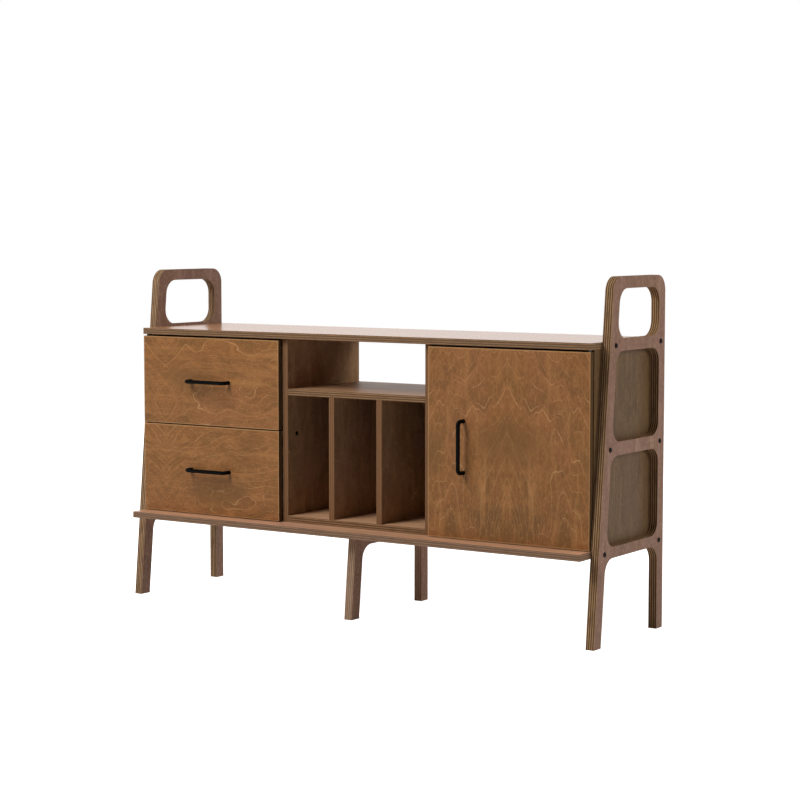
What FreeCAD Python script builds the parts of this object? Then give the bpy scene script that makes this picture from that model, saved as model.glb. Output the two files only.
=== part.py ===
import FreeCAD, Part
import math
import os

# A plywood credenza for records. Two tapered side frames, each with a loop above the top
# board, carry a top and a bottom board. Between the boards stand a bay with two drawers, a
# record bay under an open niche, and a cupboard with one door.
# Millimetres. X runs along the front, Y from front to back, Z up from the floor. A depth is
# counted forward from the back plane, and a pair holds a low and a high value.

# Boards
inner_width = 1476.0
board_thickness = 18.0
back_thickness = 3.0
bottom_board_overhang = 70.5
bottom_board_top = 249.0
carcass_depth = 351.5
carcass_height = 515.0
board_arris = 1.0

# Side frames and middle leg frame
frame_thickness = 24.0
loop_rise = 167.0
frame_foot_overhang = 36.5
loop_setback = 59.5
front_stile = 38.0
back_stile = 34.0
low_rail = 29.0
middle_rail = 35.0
high_rail = 31.0
top_bar = 31.0
frame_top_radius = 42.0
loop_radius = 42.0
window_radius = 38.0
arch_radius = 42.0
leg_frame_thickness = 24.0
leg_frame_rail = 31.0

# Record bay and niche
record_slot_width = 140.0
niche_height = 140.0

# Fronts
front_thickness = 15.0
front_gap = 1.5
frame_side_gap = 1.5
partition_side_gap = 2.0
front_top_gap = 5.0
front_bottom_gap = 2.0
drawer_front_gap = 3.0
front_arris = 1.0
hinge_arris = 3.0

# Handles
handle_radius = 5.5
handle_span = 137.0
handle_standoff = 28.0
handle_bend_radius = 12.0
door_handle_inset = 111.0
door_handle_drop = 8.5
handle_screw_radius = 2.0
handle_screw_grip = 9.0
handle_screw_head_radius = 4.5
handle_screw_head_height = 2.4

# Drawer boxes
drawer_side_thickness = 12.0
drawer_bottom_thickness = 6.0
drawer_groove_depth = 5.0
drawer_groove_height = 12.0
drawer_floor_gap = 14.0
drawer_head_gap = 24.0
drawer_rear_gap = 30.0
front_screw_radius = 2.0
front_screw_grip = 10.0
front_screw_head_radius = 4.0
front_screw_head_height = 2.2
front_screw_inset = 50.0

# Telescopic drawer slides
slide_rear_gap = 20.0
slide_height = 45.0
slide_width = 12.7
slide_sheet = 1.2
slide_play = 0.3
slide_setback = 3.0

# Pivot hinges at the top and bottom of the door
pivot_edge_inset = 5.0
pivot_face_inset = 5.0
pivot_pin_radius = 2.5
pivot_pin_depth = 9.0
pivot_ear_radius = 4.2
leaf_thickness = 2.0
leaf_length = 46.0
leaf_width = 10.0
leaf_neck_share = 3.0
washer_radius = 4.0
running_gap = 0.2

# Magnetic catch
catch_width = 15.0
catch_reach = 26.0
catch_height = 42.0
catch_drop = 60.0
strike_thickness = 1.0
strike_inset = 3.0

# Cupboard shelf and its pins
shelf_setback = 20.0
shelf_side_clearance = 0.5
pin_radius = 2.5
pin_half_length = 8.0
pin_inset = 45.0

# Frame bolts, barrel nuts and threaded inserts
bolt_radius = 3.0
bolt_head_radius = 7.0
bolt_crown_radius = 6.0
bolt_head_height = 2.0
bolt_socket_radius = 2.3
bolt_socket_depth = 1.4
bolt_front_inset = 30.0
bolt_rear_inset = 25.0
bolt_tail = 8.0
nut_reach = 32.0
nut_radius = 5.0
nut_length = 13.0
insert_radius = 5.0
insert_length = 13.0

# Wood screws of the drawer bay's divider and the middle leg frame
screw_radius = 2.5
screw_head_radius = 6.0
screw_head_height = 2.5
divider_screw_grip = 32.0
divider_screw_inset = 42.0
leg_screw_grip = 24.0
leg_screw_shares = (0.15, 0.5, 0.85)

# Dowels
dowel_radius = 4.0
dowel_in_face = 11.0
dowel_in_edge = 19.0
panel_dowel_shares = (0.3, 0.65)
shelf_dowel_shares = (0.2, 0.5)

# Clearances
fit_clearance = 0.1
bore_clearance = 0.4
tip_clearance = 0.5
overrun = 5.0
edge_tolerance = 0.001

# Planes that the sizes above set
half_inner = inner_width / 2
bottom_board_depth = carcass_depth + bottom_board_overhang
frame_foot_depth = carcass_depth + frame_foot_overhang
frame_top_depth = carcass_depth - loop_setback
back_y = bottom_board_depth / 2
bottom_board_z = (bottom_board_top - board_thickness, bottom_board_top)
carcass_z = (bottom_board_top, bottom_board_top + carcass_height)
top_board_z = (carcass_z[1], carcass_z[1] + board_thickness)
frame_height = top_board_z[1] + loop_rise
low_bolt_z = sum(bottom_board_z) / 2
high_bolt_z = sum(top_board_z) / 2
middle_bolt_z = sum(carcass_z) / 2
carcass_span = (back_thickness, carcass_depth)
front_rear = carcass_depth + front_gap
front_face = front_rear + front_thickness
front_span = (front_rear, front_face)
side_panel_x = (half_inner - board_thickness, half_inner)
divider_x = (record_slot_width + board_thickness) / 2
record_bay_half = divider_x + board_thickness / 2 + record_slot_width
partition_x = (record_bay_half, record_bay_half + board_thickness)
record_bay_x = (-record_bay_half, record_bay_half)
drawer_bay_x = (-side_panel_x[0], -partition_x[1])
door_bay_x = (partition_x[1], side_panel_x[0])
record_floor_z = (carcass_z[0], carcass_z[0] + board_thickness)
niche_shelf_z = (carcass_z[1] - niche_height - board_thickness, carcass_z[1] - niche_height)
front_z = (carcass_z[0] + front_bottom_gap, carcass_z[1] - front_top_gap)
lower_front_z = (front_z[0], middle_bolt_z - drawer_front_gap / 2)
upper_front_z = (middle_bolt_z + drawer_front_gap / 2, front_z[1])
middle_shelf_z = (lower_front_z[1] - board_thickness, lower_front_z[1])
drawer_box_height = middle_shelf_z[0] - carcass_z[0] - drawer_floor_gap - drawer_head_gap
drawer_box_depth = front_rear - back_thickness - drawer_rear_gap
slide_length = drawer_box_depth - slide_rear_gap
drawer_front_x = (frame_side_gap - half_inner, -partition_x[1] - partition_side_gap)
door_x = (partition_x[1] + partition_side_gap, half_inner - frame_side_gap)
pivot_x = door_x[1] - pivot_edge_inset
pivot_depth = front_face - pivot_face_inset


def y_at(depth):
    """Y of a plane that lies this far in front of the back plane."""
    return back_y - depth


def point(x, depth, z):
    return FreeCAD.Vector(x, y_at(depth), z)


def slab(x, depth, z):
    """Box from three pairs."""
    corner = point(x[0], depth[1], z[0])
    return Part.makeBox(x[1] - x[0], depth[1] - depth[0], z[1] - z[0], corner)


def rod(radius, start, end):
    """Cylinder between two places, each an x, a depth and a z."""
    first = point(*start)
    axis = point(*end) - first
    return Part.makeCylinder(radius, axis.Length, first, axis)


def mirrored(shape):
    return shape.mirror(FreeCAD.Vector(0, 0, 0), FreeCAD.Vector(1, 0, 0))


def both_sides(shapes):
    return shapes + [mirrored(shape) for shape in shapes]


def flipped(pair):
    """The pair on the other side of the middle."""
    return (-pair[1], -pair[0])


def eased(shape, radius, chosen):
    """Round the edges whose middle is chosen."""
    edges = [edge for edge in shape.Edges if chosen(edge.CenterOfMass)]
    return shape.makeFillet(radius, edges)


def front_eased(shape, depth, radius):
    """Round the edges that bound the front face."""
    return eased(shape, radius, lambda middle: abs(middle.y - y_at(depth)) < edge_tolerance)


def drilled(shape, pegs, radius):
    """Bore a hole for each peg that reaches into the shape."""
    bores = []
    for start, end in pegs:
        step = point(*end) - point(*start)
        step.normalize()
        first = point(*start) - step * tip_clearance
        length = (point(*end) - point(*start)).Length + tip_clearance * 2
        bores.append(Part.makeCylinder(radius + fit_clearance, length, first, step))
    return shape.cut(bores)


def rounded_wire(corners):
    """Closed wire through corners, each a point and the radius of its arc."""
    edges = []
    ends = []
    for index, (here, radius) in enumerate(corners):
        before = (corners[index - 1][0] - here).normalize()
        after = (corners[(index + 1) % len(corners)][0] - here).normalize()
        half_angle = before.getAngle(after) / 2
        reach = radius / math.tan(half_angle)
        start = here + before * reach
        finish = here + after * reach
        ends.append((start, finish))
        if radius:
            inward = (before + after).normalize()
            middle = here + inward * (radius / math.sin(half_angle) - radius)
            edges.append(Part.Arc(start, middle, finish).toShape())
    for index, (start, finish) in enumerate(ends):
        edges.append(Part.makeLine(ends[index - 1][1], start))
    return Part.Wire(Part.__sortEdges__(edges))


def side_profile(x, thickness, corners):
    """Panel of one thickness from corners given as depth, z and radius."""
    wire = rounded_wire([(point(x, depth, z), radius) for depth, z, radius in corners])
    return Part.Face(wire).extrude(FreeCAD.Vector(thickness, 0, 0))


def plan_profile(z, height, corners):
    """Plate of one height from corners given as x, depth and radius."""
    wire = rounded_wire([(point(x, depth, z), radius) for x, depth, radius in corners])
    return Part.Face(wire).extrude(FreeCAD.Vector(0, 0, height))


def front_edge(z):
    """Depth of the frames' sloping front edge at one height."""
    return frame_foot_depth - (frame_foot_depth - frame_top_depth) * z / frame_height


def stile_edge(z):
    """Depth of the rear edge of the frames' sloping front stile."""
    return front_edge(z) - front_stile


def arched_panel(x, thickness, top_z, top_radius, arch_z):
    """Panel on two legs with a round-cornered arch between them."""
    corners = [
        (front_edge(0), 0, 0),
        (front_edge(top_z), top_z, top_radius),
        (0, top_z, top_radius),
        (0, 0, 0),
        (back_stile, 0, 0),
        (back_stile, arch_z, arch_radius),
        (stile_edge(arch_z), arch_z, arch_radius),
        (stile_edge(0), 0, 0),
    ]
    return side_profile(x, thickness, corners)


def frame_cutout(low_z, high_z, radius):
    """Opening between the two stiles of the right-hand frame."""
    corners = [
        (back_stile, low_z, radius),
        (back_stile, high_z, radius),
        (stile_edge(high_z), high_z, radius),
        (stile_edge(low_z), low_z, radius),
    ]
    return side_profile(half_inner - overrun, frame_thickness + overrun * 2, corners)


def bolt_depths(z):
    return (front_edge(z) - bolt_front_inset, bolt_rear_inset)


def bolt_places(heights):
    return [(depth, z) for z in heights for depth in bolt_depths(z)]


def side_frame():
    """Right-hand side frame, with its loop, two windows and bolt holes."""
    arch_z = low_bolt_z - low_rail / 2
    frame = arched_panel(half_inner, frame_thickness, frame_height, frame_top_radius, arch_z)
    cutouts = [
        frame_cutout(low_bolt_z + low_rail / 2, middle_bolt_z - middle_rail / 2, window_radius),
        frame_cutout(middle_bolt_z + middle_rail / 2, high_bolt_z - high_rail / 2, window_radius),
        frame_cutout(high_bolt_z + high_rail / 2, frame_height - top_bar, loop_radius),
    ]
    outer = half_inner + frame_thickness + overrun
    for depth, z in bolt_places((low_bolt_z, middle_bolt_z, high_bolt_z)):
        ends = ((half_inner - overrun, depth, z), (outer, depth, z))
        cutouts.append(rod(bolt_radius + bore_clearance, *ends))
    return frame.cut(cutouts)


def leg_screw_places():
    span = front_edge(bottom_board_z[0])
    return [span * share for share in leg_screw_shares]


def leg_screw(depth):
    """Countersunk screw from the bottom board down into the middle leg frame."""
    top = (0, depth, bottom_board_z[1])
    tip = (0, depth, bottom_board_z[0] - leg_screw_grip)
    neck = point(0, depth, bottom_board_z[1] - screw_head_height)
    up = FreeCAD.Vector(0, 0, 1)
    head = Part.makeCone(screw_radius, screw_head_radius, screw_head_height, neck, up)
    return rod(screw_radius, top, tip).fuse(head)


def leg_screw_bore(depth):
    """Clearance hole with its countersink for one leg screw."""
    tip = (0, depth, bottom_board_z[0] - leg_screw_grip - tip_clearance)
    neck = point(0, depth, bottom_board_z[1] - screw_head_height)
    up = FreeCAD.Vector(0, 0, 1)
    wide = screw_head_radius + fit_clearance
    narrow = screw_radius + fit_clearance
    sink = Part.makeCone(narrow, wide, screw_head_height, neck, up)
    return rod(narrow, (0, depth, bottom_board_z[1] + overrun), tip).fuse(sink)


def middle_leg_frame():
    x = -leg_frame_thickness / 2
    top_z = bottom_board_z[0]
    frame = arched_panel(x, leg_frame_thickness, top_z, 0, top_z - leg_frame_rail)
    return frame.cut([leg_screw_bore(depth) for depth in leg_screw_places()])


def frame_bolt(depth, z, reach):
    """Right-hand connector bolt with a flat head and a hexagon socket."""
    face = half_inner + frame_thickness
    out = FreeCAD.Vector(1, 0, 0)
    base = point(face, depth, z)
    head = Part.makeCone(bolt_head_radius, bolt_crown_radius, bolt_head_height, base, out)
    shank = rod(bolt_radius, (face, depth, z), (face - reach, depth, z))
    floor_x = face + bolt_head_height - bolt_socket_depth
    corners = []
    for turn in range(7):
        angle = math.radians(60 * turn)
        across = bolt_socket_radius * math.cos(angle)
        along = bolt_socket_radius * math.sin(angle)
        corners.append(point(floor_x, depth + across, z + along))
    socket = Part.Face(Part.makePolygon(corners)).extrude(out * overrun)
    return head.fuse(shank).cut(socket)


def board_bolts():
    reach = frame_thickness + nut_reach + bolt_tail
    places = bolt_places((low_bolt_z, high_bolt_z))
    return both_sides([frame_bolt(depth, z, reach) for depth, z in places])


def panel_bolts():
    reach = frame_thickness + insert_length
    return both_sides([frame_bolt(depth, z, reach) for depth, z in bolt_places((middle_bolt_z,))])


def barrel_nut(depth, z):
    """Right-hand cross dowel that a frame bolt screws into."""
    x = half_inner - nut_reach
    body = rod(nut_radius, (x, depth, z - nut_length / 2), (x, depth, z + nut_length / 2))
    ends = ((x - nut_radius, depth, z), (x + nut_radius, depth, z))
    return body.cut(rod(bolt_radius + fit_clearance, *ends))


def barrel_nuts():
    return both_sides([barrel_nut(depth, z) for depth, z in bolt_places((low_bolt_z, high_bolt_z))])


def bolt_and_nut_bores(z):
    """Bores in a board's two ends for the bolts, and from its underside for the nuts."""
    bores = []
    tip_x = half_inner - nut_reach - bolt_tail - tip_clearance
    nut_x = half_inner - nut_reach
    nut_top = z + nut_length / 2 + fit_clearance
    for depth in bolt_depths(z):
        ends = ((half_inner + overrun, depth, z), (tip_x, depth, z))
        bores.append(rod(bolt_radius + bore_clearance, *ends))
        nut_ends = ((nut_x, depth, z - board_thickness), (nut_x, depth, nut_top))
        bores.append(rod(nut_radius + fit_clearance, *nut_ends))
    return both_sides(bores)


def threaded_insert(depth, z):
    """Right-hand sleeve in the side panel for a bolt at middle height."""
    ends = ((half_inner, depth, z), (half_inner - insert_length, depth, z))
    bore = rod(bolt_radius + fit_clearance, *ends)
    return rod(insert_radius, *ends).cut(bore)


def threaded_inserts():
    return both_sides([threaded_insert(depth, z) for depth, z in bolt_places((middle_bolt_z,))])


def insert_bores():
    """Blind bores in the right-hand side panel."""
    bores = []
    for depth, z in bolt_places((middle_bolt_z,)):
        inner = half_inner - insert_length - tip_clearance
        bores.append(rod(insert_radius + fit_clearance, (half_inner, depth, z), (inner, depth, z)))
    return bores


def panel_pegs():
    """Dowels that stand in the boards and hold the side panels and partitions."""
    pegs = []
    for pair in (side_panel_x, partition_x, flipped(side_panel_x), flipped(partition_x)):
        x = sum(pair) / 2
        for share in panel_dowel_shares:
            depth = carcass_depth * share
            low = carcass_z[0]
            high = carcass_z[1]
            pegs.append(((x, depth, low - dowel_in_face), (x, depth, low + dowel_in_edge)))
            pegs.append(((x, depth, high - dowel_in_edge), (x, depth, high + dowel_in_face)))
    return pegs


def shelf_pegs(z_pair):
    """Dowels between a panel of the record bay and both partitions."""
    pegs = []
    z = sum(z_pair) / 2
    for side in (-1, 1):
        for share in shelf_dowel_shares:
            depth = carcass_depth * share
            outer = side * (record_bay_half + dowel_in_face)
            inner = side * (record_bay_half - dowel_in_edge)
            pegs.append(((outer, depth, z), (inner, depth, z)))
    return pegs


def divider_pegs():
    """Dowels at the head and foot of both record dividers."""
    pegs = []
    low = record_floor_z[1]
    high = niche_shelf_z[0]
    for x in (-divider_x, divider_x):
        for share in shelf_dowel_shares:
            depth = carcass_depth * share
            pegs.append(((x, depth, low - dowel_in_face), (x, depth, low + dowel_in_edge)))
            pegs.append(((x, depth, high - dowel_in_edge), (x, depth, high + dowel_in_face)))
    return pegs


def drawer_divider_pegs():
    """Dowels between the drawer bay's divider and the left side panel."""
    pegs = []
    z = sum(middle_shelf_z) / 2
    wall = drawer_bay_x[0]
    for share in panel_dowel_shares:
        depth = carcass_depth * share
        pegs.append(((wall - dowel_in_face, depth, z), (wall + dowel_in_edge, depth, z)))
    return pegs


def carcass_pegs():
    shelves = shelf_pegs(niche_shelf_z) + shelf_pegs(record_floor_z)
    return panel_pegs() + shelves + divider_pegs() + drawer_divider_pegs()


def carcass_dowels():
    return [rod(dowel_radius, start, end) for start, end in carcass_pegs()]


def leaf_corners():
    """Outline of a pivot leaf, with a round ear about the pin."""
    rear = front_rear + (front_thickness - leaf_width) / 2
    ear_x = pivot_x + pivot_ear_radius
    ear_front = pivot_depth + pivot_ear_radius
    ear_rear = pivot_depth - pivot_ear_radius
    neck_x = pivot_x - pivot_ear_radius * leaf_neck_share
    far_x = door_x[1] - leaf_length
    middle = rear + leaf_width
    blunt = leaf_width / 2 * math.cos(math.radians(45))
    return [
        (ear_x, ear_front, pivot_ear_radius),
        (ear_x, min(rear, ear_rear), pivot_ear_radius),
        (far_x, rear, blunt),
        (far_x, middle, blunt),
        (neck_x, middle, 0),
        (pivot_x - pivot_ear_radius, ear_front, 0),
    ]


def leaf_seat(face_z, way):
    """Space of a leaf let in from a face; way is up or down into the wood."""
    return plan_profile(min(face_z, face_z + way * leaf_thickness), leaf_thickness, leaf_corners())


def hinge_leaf(face_z, way):
    """Pivot leaf with a hole for its pin."""
    ends = ((pivot_x, pivot_depth, face_z - overrun), (pivot_x, pivot_depth, face_z + overrun))
    return leaf_seat(face_z, way).cut(rod(pivot_pin_radius + fit_clearance, *ends))


def door_hinge_leaves():
    return [hinge_leaf(front_z[0], 1), hinge_leaf(front_z[1], -1)]


def board_hinge_leaves():
    return [hinge_leaf(carcass_z[0], -1), hinge_leaf(carcass_z[1], 1)]


def pivot_pins():
    """Pins that are riveted in the boards' leaves and turn in the door's leaves."""
    low_top = front_z[0] + pivot_pin_depth
    high_low = front_z[1] - pivot_pin_depth
    low = ((pivot_x, pivot_depth, carcass_z[0] - leaf_thickness), (pivot_x, pivot_depth, low_top))
    high = ((pivot_x, pivot_depth, high_low), (pivot_x, pivot_depth, carcass_z[1] + leaf_thickness))
    return [rod(pivot_pin_radius, *low), rod(pivot_pin_radius, *high)]


def pivot_bores():
    """Bores in the door for the two pins."""
    radius = pivot_pin_radius + fit_clearance
    low_top = front_z[0] + pivot_pin_depth + tip_clearance
    high_low = front_z[1] - pivot_pin_depth - tip_clearance
    low = rod(radius, (pivot_x, pivot_depth, front_z[0]), (pivot_x, pivot_depth, low_top))
    high = rod(radius, (pivot_x, pivot_depth, high_low), (pivot_x, pivot_depth, front_z[1]))
    return [low, high]


def pivot_washers():
    """Spacers on the pins, between the boards' leaves and the door's leaves."""
    washers = []
    spans = ((carcass_z[0], front_z[0] - running_gap), (front_z[1] + running_gap, carcass_z[1]))
    for low, high in spans:
        ends = ((pivot_x, pivot_depth, low), (pivot_x, pivot_depth, high))
        ring = rod(washer_radius, *ends)
        washers.append(ring.cut(rod(pivot_pin_radius + fit_clearance, *ends)))
    return washers


def top_board():
    board = slab((-half_inner, half_inner), (0, front_face), top_board_z)
    board = front_eased(board, front_face, board_arris)
    board = board.cut(bolt_and_nut_bores(high_bolt_z) + [leaf_seat(carcass_z[1], 1)])
    return drilled(board, panel_pegs(), dowel_radius)


def bottom_board():
    board = slab((-half_inner, half_inner), (0, bottom_board_depth), bottom_board_z)
    board = front_eased(board, bottom_board_depth, board_arris)
    leg_bores = [leg_screw_bore(depth) for depth in leg_screw_places()]
    board = board.cut(bolt_and_nut_bores(low_bolt_z) + leg_bores + [leaf_seat(carcass_z[0], -1)])
    return drilled(board, panel_pegs(), dowel_radius)


def right_side_panel():
    panel = slab(side_panel_x, carcass_span, carcass_z)
    panel = drilled(panel.cut(insert_bores()), panel_pegs(), dowel_radius)
    return drilled(panel, shelf_pin_pegs(), pin_radius)


def left_side_panel():
    panel = slab(flipped(side_panel_x), carcass_span, carcass_z)
    bores = [mirrored(bore) for bore in insert_bores()]
    return drilled(panel.cut(bores), panel_pegs() + drawer_divider_pegs(), dowel_radius)


def partition_blank(pair):
    panel = slab(pair, carcass_span, carcass_z)
    pegs = panel_pegs() + shelf_pegs(niche_shelf_z) + shelf_pegs(record_floor_z)
    return drilled(front_eased(panel, carcass_depth, board_arris), pegs, dowel_radius)


def divider_screw_depths():
    return (carcass_depth - divider_screw_inset, divider_screw_inset)


def divider_screw(depth, clearance):
    """Screw through the left partition, its head flush in the record bay."""
    z = sum(middle_shelf_z) / 2
    face = record_bay_x[0]
    tip = partition_x[1] + divider_screw_grip + clearance
    head_end = face - screw_head_height - clearance
    head = rod(screw_head_radius + clearance, (face, depth, z), (head_end, depth, z))
    return head.fuse(rod(screw_radius + clearance, (face, depth, z), (-tip, depth, z)))


def divider_screws():
    return [divider_screw(depth, 0) for depth in divider_screw_depths()]


def divider_screw_bores():
    return [divider_screw(depth, fit_clearance) for depth in divider_screw_depths()]


def left_partition():
    return partition_blank(flipped(partition_x)).cut(divider_screw_bores())


def right_partition():
    return drilled(partition_blank(partition_x), shelf_pin_pegs(), pin_radius)


def niche_shelf():
    shelf = front_eased(slab(record_bay_x, carcass_span, niche_shelf_z), carcass_depth, board_arris)
    return drilled(shelf, shelf_pegs(niche_shelf_z) + divider_pegs(), dowel_radius)


def record_bay_floor():
    floor = front_eased(slab(record_bay_x, carcass_span, record_floor_z), carcass_depth, board_arris)
    return drilled(floor, shelf_pegs(record_floor_z) + divider_pegs(), dowel_radius)


def record_divider(side):
    middle = side * divider_x
    pair = (middle - board_thickness / 2, middle + board_thickness / 2)
    divider = slab(pair, carcass_span, (record_floor_z[1], niche_shelf_z[0]))
    return drilled(front_eased(divider, carcass_depth, board_arris), divider_pegs(), dowel_radius)


def drawer_bay_divider():
    board = slab(drawer_bay_x, carcass_span, middle_shelf_z)
    return drilled(board.cut(divider_screw_bores()), drawer_divider_pegs(), dowel_radius)


def shelf_pin_pegs():
    """Pins under the four corners of the cupboard shelf."""
    pegs = []
    z = middle_shelf_z[0] - pin_radius
    for wall in door_bay_x:
        for depth in (pin_inset, carcass_depth - shelf_setback - pin_inset):
            pegs.append(((wall - pin_half_length, depth, z), (wall + pin_half_length, depth, z)))
    return pegs


def shelf_pins():
    return [rod(pin_radius, start, end) for start, end in shelf_pin_pegs()]


def door_bay_shelf():
    x = (door_bay_x[0] + shelf_side_clearance, door_bay_x[1] - shelf_side_clearance)
    front = carcass_depth - shelf_setback
    return front_eased(slab(x, (back_thickness, front), middle_shelf_z), front, board_arris)


def back_panel(x, top_z):
    return slab(x, (0, back_thickness), (carcass_z[0], top_z))


def handle(x, z, along):
    """Bent bar handle; along is the direction of its grip."""
    out = FreeCAD.Vector(0, -1, 0)
    half = along * (handle_span / 2)
    bend = handle_bend_radius
    centre = point(x, front_face, z)
    corner = out * handle_standoff
    knee = bend - bend * math.cos(math.radians(45))
    foot = centre - half
    other = centre + half
    first_arc = (
        foot + corner - out * bend,
        foot + corner + along * knee - out * knee,
        foot + corner + along * bend,
    )
    second_arc = (
        other + corner - along * bend,
        other + corner - along * knee - out * knee,
        other + corner - out * bend,
    )
    path = Part.Wire([
        Part.makeLine(foot, first_arc[0]),
        Part.Arc(*first_arc).toShape(),
        Part.makeLine(first_arc[2], second_arc[0]),
        Part.Arc(*second_arc).toShape(),
        Part.makeLine(second_arc[2], other),
    ])
    section = Part.Wire(Part.makeCircle(handle_radius, foot, out))
    bar = path.makePipeShell([section], True, True)
    bores = []
    for leg in (foot, other):
        depth = handle_screw_grip + tip_clearance
        bores.append(Part.makeCylinder(handle_screw_radius + fit_clearance, depth, leg, out))
    return bar.cut(bores)


def handle_screw_feet(x, z, along):
    half = along * (handle_span / 2)
    centre = point(x, front_face, z)
    return (centre - half, centre + half)


def handle_screws(x, z, along, grip):
    """Machine screws through wood of this thickness into the handle's legs."""
    out = FreeCAD.Vector(0, -1, 0)
    screws = []
    for foot in handle_screw_feet(x, z, along):
        inside = foot - out * grip
        head_start = inside - out * handle_screw_head_height
        head = Part.makeCylinder(handle_screw_head_radius, handle_screw_head_height, head_start, out)
        shank = Part.makeCylinder(handle_screw_radius, grip + handle_screw_grip, inside, out)
        screws.append(head.fuse(shank))
    return screws


def handle_screw_bores(x, z, along):
    """Holes through a front, and through what lies behind it, for the handle's screws."""
    out = FreeCAD.Vector(0, -1, 0)
    length = front_thickness + drawer_side_thickness + overrun
    radius = handle_screw_radius + fit_clearance
    feet = handle_screw_feet(x, z, along)
    return [Part.makeCylinder(radius, length, foot - out * length, out) for foot in feet]


def channel(wall, way, body, hollow, half_height, z):
    """C-section along the travel; body and hollow are pairs counted from the bay's wall."""
    def across(pair):
        return tuple(sorted((wall + way * pair[0], wall + way * pair[1])))

    front = carcass_depth - slide_setback
    span = (front - slide_length, front)
    inner_half = half_height - slide_sheet
    outer = slab(across(body), span, (z - half_height, z + half_height))
    return outer.cut(slab(across(hollow), span, (z - inner_half, z + inner_half)))


def slide_members(member, z):
    """Left and right members of one kind for one drawer; each runs inside the one before."""
    cabinet_half = slide_height / 2
    middle_half = cabinet_half - slide_sheet - slide_play
    inner_half = middle_half - slide_sheet - slide_play
    middle_web = slide_sheet + slide_play
    middle_hollow = middle_web + slide_sheet
    inner_lip = middle_hollow + slide_play
    inner_web = slide_width - slide_sheet
    mouth = inner_web - slide_play
    sections = {
        "cabinet": ((0, mouth), (slide_sheet, mouth), cabinet_half),
        "middle": ((middle_web, mouth), (middle_hollow, mouth), middle_half),
        "inner": ((inner_lip, slide_width), (inner_lip, inner_web), inner_half),
    }
    members = []
    for wall, way in ((drawer_bay_x[0], 1), (drawer_bay_x[1], -1)):
        members.append(channel(wall, way, *sections[member], z))
    return members


def drawer_front_blank(z_pair):
    return front_eased(slab(drawer_front_x, front_span, z_pair), front_face, front_arris)


def front_screw_pegs(box_x, box_z):
    """Screws from the inner front into the front, near the corners of the box."""
    pegs = []
    for x in (box_x[0] + front_screw_inset, box_x[1] - front_screw_inset):
        for z in (box_z[0] + front_screw_inset, box_z[1] - front_screw_inset):
            inside = front_rear - drawer_side_thickness
            pegs.append(((x, inside, z), (x, front_rear + front_screw_grip, z)))
    return pegs


def front_screws(pegs):
    screws = []
    for start, end in pegs:
        x, depth, z = start
        head = rod(front_screw_head_radius, (x, depth - front_screw_head_height, z), start)
        screws.append(head.fuse(rod(front_screw_radius, start, end)))
    return screws


def drawer(name, z_pair, floor_z):
    """Every piece of one drawer and of its two slides."""
    box_x = (drawer_bay_x[0] + slide_width, drawer_bay_x[1] - slide_width)
    box_z = (floor_z + drawer_floor_gap, floor_z + drawer_floor_gap + drawer_box_height)
    box_span = (front_rear - drawer_box_depth, front_rear)
    inner_x = (box_x[0] + drawer_side_thickness, box_x[1] - drawer_side_thickness)
    inner_span = (box_span[0] + drawer_side_thickness, box_span[1] - drawer_side_thickness)
    bottom_low = box_z[0] + drawer_groove_height
    bottom_z = (bottom_low, bottom_low + drawer_bottom_thickness)
    bottom_x = (inner_x[0] - drawer_groove_depth, inner_x[1] + drawer_groove_depth)
    bottom_span = (inner_span[0] - drawer_groove_depth, inner_span[1] + drawer_groove_depth)
    bottom = slab(bottom_x, bottom_span, bottom_z)
    groove = slab(
        (bottom_x[0] - fit_clearance, bottom_x[1] + fit_clearance),
        (bottom_span[0] - fit_clearance, bottom_span[1] + fit_clearance),
        (bottom_z[0] - fit_clearance, bottom_z[1] + fit_clearance),
    )
    grip_x = sum(drawer_front_x) / 2
    grip_z = sum(z_pair) / 2
    along = FreeCAD.Vector(1, 0, 0)
    pegs = front_screw_pegs(box_x, box_z)
    handle_bores = handle_screw_bores(grip_x, grip_z, along)
    front = drilled(drawer_front_blank(z_pair).cut(handle_bores), pegs, front_screw_radius)
    inner_front = slab(inner_x, (inner_span[1], box_span[1]), box_z).cut([groove] + handle_bores)
    slide_z = sum(box_z) / 2
    grip = front_thickness + drawer_side_thickness
    return {
        name + "_front": [front],
        name + "_inner_front": [drilled(inner_front, pegs, front_screw_radius)],
        name + "_left_side": [slab((box_x[0], inner_x[0]), box_span, box_z).cut(groove)],
        name + "_right_side": [slab((inner_x[1], box_x[1]), box_span, box_z).cut(groove)],
        name + "_back": [slab(inner_x, (box_span[0], inner_span[0]), box_z).cut(groove)],
        name + "_bottom": [bottom],
        name + "_handle": [handle(grip_x, grip_z, along)],
        name + "_handle_screws": handle_screws(grip_x, grip_z, along, grip),
        name + "_front_screws": front_screws(pegs),
        name + "_cabinet_slides": slide_members("cabinet", slide_z),
        name + "_middle_slides": slide_members("middle", slide_z),
        name + "_inner_slides": slide_members("inner", slide_z),
    }


def door_handle_place():
    x = door_x[0] + door_handle_inset
    z = sum(front_z) / 2 - door_handle_drop
    return (x, z, FreeCAD.Vector(0, 0, 1))


def door_panel():
    """Door with its hinge-side edges rounded, so that it turns clear of the frame and the panel."""
    corners = [
        (door_x[0], front_rear, 0),
        (door_x[1], front_rear, front_arris),
        (door_x[1], front_face, hinge_arris),
        (door_x[0], front_face, front_arris),
    ]
    panel = plan_profile(front_z[0], front_z[1] - front_z[0], corners)
    seats = [leaf_seat(front_z[0], 1), leaf_seat(front_z[1], -1)]
    return panel.cut(seats + pivot_bores() + handle_screw_bores(*door_handle_place()))


def catch_z():
    middle = carcass_z[1] - catch_drop
    return (middle - catch_height / 2, middle + catch_height / 2)


def catch_face():
    return front_rear - strike_thickness - running_gap


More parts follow.
